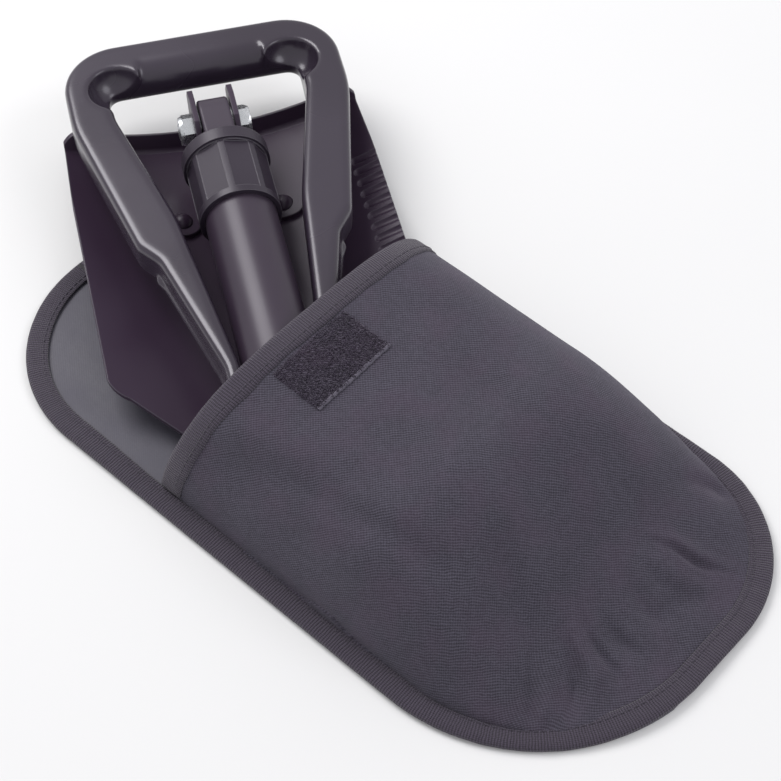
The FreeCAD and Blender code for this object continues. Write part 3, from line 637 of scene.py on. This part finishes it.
def cloth_uv_of(grid):
    """Cloth coordinates in millimetres: straight lengths along rows and columns."""
    du = np.linalg.norm(np.diff(grid, axis=0), axis=2)
    dv = np.linalg.norm(np.diff(grid, axis=1), axis=2)
    u = np.concatenate([np.zeros((1, grid.shape[1])), np.cumsum(du, 0)])
    middle = grid.shape[1] // 2
    v = np.concatenate([np.zeros((grid.shape[0], 1)), np.cumsum(dv, 1)], 1)
    v = v - v[:, middle:middle + 1]
    u_line = u[:, middle:middle + 1] * np.ones((1, grid.shape[1]))
    return np.stack([u_line, v], -1)


# ---- settling the front panel: a short cloth simulation on a coarse copy of it ----
SIM_STEP = 4                                  # about one cloth point for so many grid points
SIM_FRAMES = 30
SIM_CAP = 3.0                                 # farthest a point may settle, in millimetres
SIM_CLEAR = 0.0012                            # the cloth keeps so far off each block, in metres
MOUTH_HOLD = 0.85                             # how firmly the mouth's edge is held; the seams have 1
BLOCKS = ("handle", "shaft_tube", "shaft_head", "tail_block", "blade", "lock_collar")
CLOTH_SETTINGS = {
    "quality": 8,
    "mass": 0.0007,
    "tension_stiffness": 40.0,
    "compression_stiffness": 20.0,
    "shear_stiffness": 12.0,
    "bending_stiffness": 0.2,
    "air_damping": 1.0,
    "vertex_group_mass": "held",
    "pin_stiffness": 1.0,
}


def stretched(coarse, rows, cols):
    """Coarse grid of vectors blown up to rows by cols with straight lines between its points."""
    at_row = np.linspace(0, coarse.shape[0] - 1, rows)
    at_col = np.linspace(0, coarse.shape[1] - 1, cols)
    i = np.minimum(at_row.astype(int), coarse.shape[0] - 2)
    j = np.minimum(at_col.astype(int), coarse.shape[1] - 2)
    a, b = (at_row - i)[:, None, None], (at_col - j)[None, :, None]
    top = coarse[i][:, j] * (1 - b) + coarse[i][:, j + 1] * b
    low = coarse[i + 1][:, j] * (1 - b) + coarse[i + 1][:, j + 1] * b
    return top * (1 - a) + low * a


def smoothed(field, passes):
    """Evens out a grid of vectors; its rim stays."""
    for _ in range(passes):
        field = field.copy()
        field[1:-1, 1:-1] = (field[1:-1, 1:-1] * 2 + field[:-2, 1:-1] + field[2:, 1:-1]
                             + field[1:-1, :-2] + field[1:-1, 2:]) / 6
    return field


def spread(count):
    """Indices from 0 to count - 1, evenly spread and about SIM_STEP apart."""
    picks = math.ceil((count - 1) / SIM_STEP) + 1
    return np.round(np.linspace(0, count - 1, picks)).astype(int)


def make_settling_sheet(start):
    """The coarse cloth, with its seams and its mouth's edge in the group that holds them."""
    rows, cols = start.shape[:2]
    mesh = bpy.data.meshes.new("settling")
    mesh.from_pydata([tuple(p) for p in start.reshape(-1, 3)], [], grid_faces(rows, cols))
    mesh.update()
    sheet = bpy.data.objects.new("settling", mesh)
    bpy.context.scene.collection.objects.link(sheet)
    held = sheet.vertex_groups.new(name="held")
    for i in range(rows):
        for k in range(cols):
            from_seam = min(k, cols - 1 - k, rows - 1 - i)
            if from_seam <= 1:
                held.add([i * cols + k], 1.0, "REPLACE")
            elif i == 0:
                held.add([i * cols + k], MOUTH_HOLD, "REPLACE")
    return sheet


def make_block(name):
    """Copy of a rigid piece for the cloth to rest on."""
    block = nodes[name].copy()
    block.data = nodes[name].data.copy()
    block.modifiers.clear()
    block.name = "settling_" + name
    bpy.context.scene.collection.objects.link(block)
    block.modifiers.new("block", "COLLISION")
    block.collision.thickness_outer = SIM_CLEAR
    block.collision.cloth_friction = 12.0
    return block


def settled(grid):
    """Lets the front panel settle on the shovel under its own weight, held along its seams."""
    scene = bpy.context.scene
    rows, cols = grid.shape[:2]
    start = placed(grid[spread(rows)][:, spread(cols)])
    sheet = make_settling_sheet(start)
    blocks = [make_block(name) for name in BLOCKS]
    run = sheet.modifiers.new("settle", "CLOTH")
    for name, value in CLOTH_SETTINGS.items():
        setattr(run.settings, name, value)
    run.collision_settings.collision_quality = 3
    run.collision_settings.distance_min = SIM_CLEAR
    run.collision_settings.use_self_collision = False
    run.point_cache.frame_start = 1
    run.point_cache.frame_end = SIM_FRAMES
    for step in range(1, SIM_FRAMES + 1):
        scene.frame_set(step)
    done = sheet.evaluated_get(bpy.context.evaluated_depsgraph_get()).to_mesh()
    flat = np.zeros(len(done.vertices) * 3)
    done.vertices.foreach_get("co", flat)
    moved = (flat.reshape(start.shape) - start) / MM
    for obj in blocks + [sheet]:
        left_over = obj.data
        bpy.data.objects.remove(obj)
        bpy.data.meshes.remove(left_over)
    scene.frame_set(1)
    move = np.stack([moved @ ALONG, moved @ ACROSS, moved[..., 2]], -1)
    far = np.linalg.norm(move, axis=-1, keepdims=True)
    move *= SIM_CAP * np.tanh(far / SIM_CAP) / np.maximum(far, 1e-6)
    return grid + stretched(smoothed(move, 3), rows, cols)


filled = front_surface()
filled = settled(filled)
front_grid = soften_front(filled)


def make_front_panel():
    points = np.concatenate([front_grid.reshape(-1, 3), inner_skin(front_grid).reshape(-1, 3)])
    uv = np.concatenate([cloth_uv_of(front_grid).reshape(-1, 2)] * 2)
    return mesh_piece("pouch_front", placed(points), shell_faces(ROWS, COLS), uv, cloth)


# ---- mouth tape ----
TAPE_REACH = 40                               # the tape lies within so many rows of the mouth


def make_mouth_tape():
    """Tape folded over the front panel's free edge: its piece, and its rows of points."""
    n = upward_normals(front_grid)
    ahead = front_grid[0] - front_grid[1]
    ahead /= np.linalg.norm(ahead, axis=1, keepdims=True)
    lengths = lengths_along(front_grid[0])
    rows, uv = [], []
    for k in range(2, COLS - 2):
        line, out = front_grid[:TAPE_REACH, k], n[:TAPE_REACH, k]
        far = lengths_along(line)
        edge = front_grid[0, k] - n[0, k] * 0.4
        width = TAPE_W + (0.25 * math.sin(lengths[k] * 0.13) + 0.15 * math.sin(lengths[k] * 0.41))
        outside = [(width, 0.12), (width - 0.2, 0.55), (TAPE_W - 2.5, 0.72), (TAPE_W * 0.5, 0.8),
                   (1.5, 0.75), (0.3, 0.6)]                         # distance from the edge, lift
        fold = [(0.75, 0.45), (0.95, 0.0), (0.75, -0.55)]           # distance past the edge, lift
        inside = [(0.6, -1.4), (TAPE_W * 0.5, -1.45), (TAPE_W - 0.4, -1.4), (TAPE_W, -0.9)]
        section = [point_at(d, far, line) + point_at(d, far, out) * lift for d, lift in outside]
        section += [edge + ahead[k] * d + n[0, k] * lift for d, lift in fold]
        section += [point_at(d, far, line) + point_at(d, far, out) * lift for d, lift in inside]
        section = np.array(section)
        section[:, 2] = np.maximum(section[:, 2], SEAM_Z + 0.95)
        rows.append(section)
        uv.append(np.stack([np.full(len(section), lengths[k]), lengths_along(section)], 1))
    rows = np.array(rows)
    count, per = rows.shape[:2]
    faces = grid_faces(count, per, close_cols=True)
    faces.append(tuple(range(per)))
    faces.append(tuple(reversed(range((count - 1) * per, count * per))))
    tape = mesh_piece("pouch_mouth_tape", placed(rows).reshape(-1, 3), faces,
                      np.array(uv).reshape(-1, 2), tape_cloth)
    return tape, rows


back = make_back_panel()
edge_tape, tape_rows = make_edge_tape()
front = make_front_panel()
mouth_tape, mouth_rows = make_mouth_tape()


# ---- stitches ----
STITCH_PITCH, STITCH_GAP = 3.1, 0.75
STITCH_R, STITCH_LIFT = 0.3, 0.16
STITCH_SIDES = 6
STITCH_RINGS = (                              # share of the length, height over it, thickness
    (0.0, -0.6, 0.6), (0.12, 0.35, 0.9), (0.5, 1.0, 1.0), (0.88, 0.35, 0.9), (1.0, -0.6, 0.6),
)


def stitch_points(a, b, up):
    """Points of one short stitch from a to b that dives in at both ends."""
    along = (b - a) / np.linalg.norm(b - a)
    side = np.cross(up, along)
    side /= np.linalg.norm(side)
    points = []
    for share, high, size in STITCH_RINGS:
        centre = a + (b - a) * share + up * STITCH_LIFT * high
        for q in range(STITCH_SIDES):
            turn = 2 * math.pi * q / STITCH_SIDES
            points.append(centre + STITCH_R * size * (side * math.cos(turn) + up * 0.75 * math.sin(turn)))
    return points


def stitches(name, path, ups):
    """A row of stitches along a path of points in millimetres."""
    far = lengths_along(path)
    rings = len(STITCH_RINGS)
    last_ring = (rings - 1) * STITCH_SIDES
    points, faces, uv = [], [], []
    rng = np.random.default_rng(7)
    start = 0.5
    while start + STITCH_PITCH < far[-1]:
        long = STITCH_PITCH - STITCH_GAP + rng.uniform(-0.12, 0.12)
        up = point_at(start + long / 2, far, ups)
        up /= np.linalg.norm(up)
        first = len(points)
        points += stitch_points(point_at(start, far, path), point_at(start + long, far, path), up)
        faces += grid_faces(rings, STITCH_SIDES, close_cols=True, start=first)
        faces.append(tuple(first + q for q in reversed(range(STITCH_SIDES))))
        faces.append(tuple(first + last_ring + q for q in range(STITCH_SIDES)))
        uv += [(start + i * 0.5, q * 0.3) for i in range(rings) for q in range(STITCH_SIDES)]
        start += STITCH_PITCH
    return mesh_piece(name, placed(points), faces, uv, thread)


# the edge seam runs between two points of the tape's section near its inner edge
seam = tape_rows[:, 9] * 0.55 + tape_rows[:, 10] * 0.45
seam = np.concatenate([seam, seam[:1]])
seam[:, 2] += 0.05
edge_stitches = stitches("pouch_tape_stitches", seam, np.tile(UP, (len(seam), 1)))

# the mouth seam stops short of the tape's ends, and its outward way is from inside to outside
stitched_rows = mouth_rows[6:-6]
mouth_seam = stitched_rows[:, 2] * 0.75 + stitched_rows[:, 3] * 0.25
mouth_out = stitched_rows[:, 2] - stitched_rows[:, 11]
mouth_out /= np.linalg.norm(mouth_out, axis=1, keepdims=True)
mouth_stitches = stitches("pouch_mouth_stitches", mouth_seam, mouth_out)


# ---- loop patch ----
front_tree = BVHTree.FromPolygons([tuple(p) for p in front_grid.reshape(-1, 3)],
                                  grid_faces(ROWS, COLS))
PATCH = (127.6, 153.0, -31.0, 11.0)           # x from, x to, y from, y to
LOOPS = 4200                                  # loops of yarn on the pad
LOOP_POINTS = 5
HIGH = 200.0                                  # a height well over the pouch


def on_front(x, y, lift):
    """Point of the front panel at (x, y), lifted off it, and the way up from it."""
    hit = front_tree.ray_cast(Vector((x, y, HIGH)), Vector((0, 0, -1)))
    up = hit[1] if hit[1].z > 0 else -hit[1]
    return np.array(hit[0] + up * lift), np.array(up)


def make_patch():
    """The pad itself: a cut piece of uneven pile with a ragged edge."""
    x0, x1, y0, y1 = PATCH
    rows, cols = 44, 70
    points, uv = [], []
    rng = np.random.default_rng(19)
    for i in range(rows):
        for k in range(cols):
            x = x0 + (x1 - x0) * i / (rows - 1)
            y = y0 + (y1 - y0) * k / (cols - 1)
            edge = min(i, rows - 1 - i, k, cols - 1 - k)
            jag = rng.uniform(-0.22, 0.22, 2) if edge == 0 else (0, 0)
            lift = 0.05 if edge == 0 else (0.65 if edge == 1 else 0.95 + rng.uniform(-0.16, 0.16))
            points.append(on_front(x + jag[0], y + jag[1], lift)[0])
            uv.append((x, y))
    faces = [f[::-1] for f in grid_faces(rows, cols)]
    return mesh_piece("loop_pad", placed(points), faces, uv, pile)


def make_selvedge():
    """Lighter woven edge along the pad's long side away from the mouth."""
    _, x1, y0, y1 = PATCH
    section = [(0.0, 0.1), (-0.15, 0.85), (-0.7, 1.15), (-1.25, 1.1), (-1.5, 0.8)]     # x, lift
    steps = 90
    points, uv = [], []
    for k in range(steps):
        y = y0 + (y1 - y0) * k / (steps - 1)
        for q, (dx, lift) in enumerate(section):
            points.append(on_front(x1 + 0.35 + dx + 0.12 * math.sin(k * 0.7), y, lift)[0])
            uv.append((y, q * 0.4))
    faces = grid_faces(steps, len(section))
    return mesh_piece("loop_pad_selvedge", placed(points), faces, uv, selvedge_cloth)


def make_fuzz():
    """Small loops of yarn all over the pad."""
    x0, x1, y0, y1 = PATCH
    rng = np.random.default_rng(23)
    points, faces, uv = [], [], []
    for _ in range(LOOPS):
        x, y = rng.uniform(x0 + 0.2, x1 - 0.2), rng.uniform(y0 + 0.2, y1 - 0.2)
        base, up = on_front(x, y, 0.75)
        turn = rng.uniform(0, 2 * math.pi)
        flat = np.array([math.cos(turn), math.sin(turn), 0.0])
        side = np.cross(up, flat)
        side /= np.linalg.norm(side)
        wide, high = rng.uniform(0.35, 0.8), rng.uniform(0.35, 0.85)
        first = len(points)
        for s in range(LOOP_POINTS):
            a = math.pi * s / (LOOP_POINTS - 1)
            centre = base + flat * wide * math.cos(a) + up * high * math.sin(a)
            points += [centre - side * 0.09, centre + side * 0.09]
            uv += [(x + s * 0.2, y), (x + s * 0.2, y + 0.2)]
        for corner in range(first, first + 2 * (LOOP_POINTS - 1), 2):
            faces.append((corner, corner + 1, corner + 3, corner + 2))
    return mesh_piece("loop_pad_fuzz", placed(points), faces, uv, pile)


patch = make_patch()
selvedge = make_selvedge()
fuzz = make_fuzz()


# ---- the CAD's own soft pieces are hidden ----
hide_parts("pouch_back_panel")
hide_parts("pouch_edge_binding")
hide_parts("pouch_front_panel")
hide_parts("pouch_mouth_binding")
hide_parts("loop_patch")


# ---- floor, light and camera, in metres ----
FLOOR_HALF = 8.0
WORLD_COLOUR, WORLD_STRENGTH = (0.985, 0.985, 1.0, 1.0), 0.7
LENS, SENSOR_WIDTH = 86.2, 36.0               # focal length and sensor, in millimetres
EYE_FROM_HINGE = (-0.0688, -0.6037, 0.6116)
EYE_TILT, EYE_TURN = 36.5, -14.0              # degrees from straight down, and about the vertical


def make_floor():
    """Plain pale paper."""
    mesh = bpy.data.meshes.new("floor")
    corners = [(x * FLOOR_HALF, y * FLOOR_HALF, 0) for x, y in ((-1, -1), (1, -1), (1, 1), (-1, 1))]
    mesh.from_pydata(corners, [], [(0, 1, 2, 3)])
    obj = bpy.data.objects.new("floor", mesh)
    bpy.context.scene.collection.objects.link(obj)
    g = Graph("paper")
    cloud = g.noise(g.object_place(), 3.0, 3.0)
    colour = g.mix(cloud, (0.765, 0.765, 0.77), (0.79, 0.79, 0.795))
    mesh.materials.append(g.finish(Base_Color=colour, Roughness=0.9))


def add_light(name, place, size, power, tint):
    """Round area light that faces the origin."""
    light = bpy.data.lights.new(name, "AREA")
    light.shape = "DISK"
    light.size = size
    light.energy = power
    light.color = tint
    obj = bpy.data.objects.new(name, light)
    obj.location = place
    obj.rotation_euler = (-Vector(place)).to_track_quat("-Z", "Y").to_euler()
    bpy.context.scene.collection.objects.link(obj)


def light_room():
    world = bpy.data.worlds.new("room")
    bpy.context.scene.world = world
    world.use_nodes = True
    background = world.node_tree.nodes["Background"]
    background.inputs["Color"].default_value = WORLD_COLOUR
    background.inputs["Strength"].default_value = WORLD_STRENGTH
    add_light("key", place=(-0.55, 0.75, 1.1), size=0.9, power=12.8, tint=(1.0, 0.99, 0.98))
    add_light("fill", place=(0.9, -0.4, 1.0), size=0.8, power=4.0, tint=(0.97, 0.97, 1.0))
    bpy.context.scene.view_settings.view_transform = "Standard"


def add_camera():
    """Camera placed from the hinge, which is where the tube's axis meets the fold bolt."""
    camera = bpy.data.cameras.new("photo_view")
    camera.sensor_width = SENSOR_WIDTH
    camera.lens = LENS
    camera.clip_start, camera.clip_end = 0.01, 20.0
    eye = bpy.data.objects.new("photo_view", camera)
    bpy.context.scene.collection.objects.link(eye)
    low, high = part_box("fold_bolt")
    tube_low, tube_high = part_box("shaft_tube")
    hinge = Vector(((tube_low.x + tube_high.x) / 2, (low.y + high.y) / 2, (low.z + high.z) / 2))
    eye.location = hinge + Vector(EYE_FROM_HINGE)
    eye.rotation_euler = (math.radians(EYE_TILT), 0.0, math.radians(EYE_TURN))
    bpy.context.scene.camera = eye


make_floor()
light_room()
add_camera()
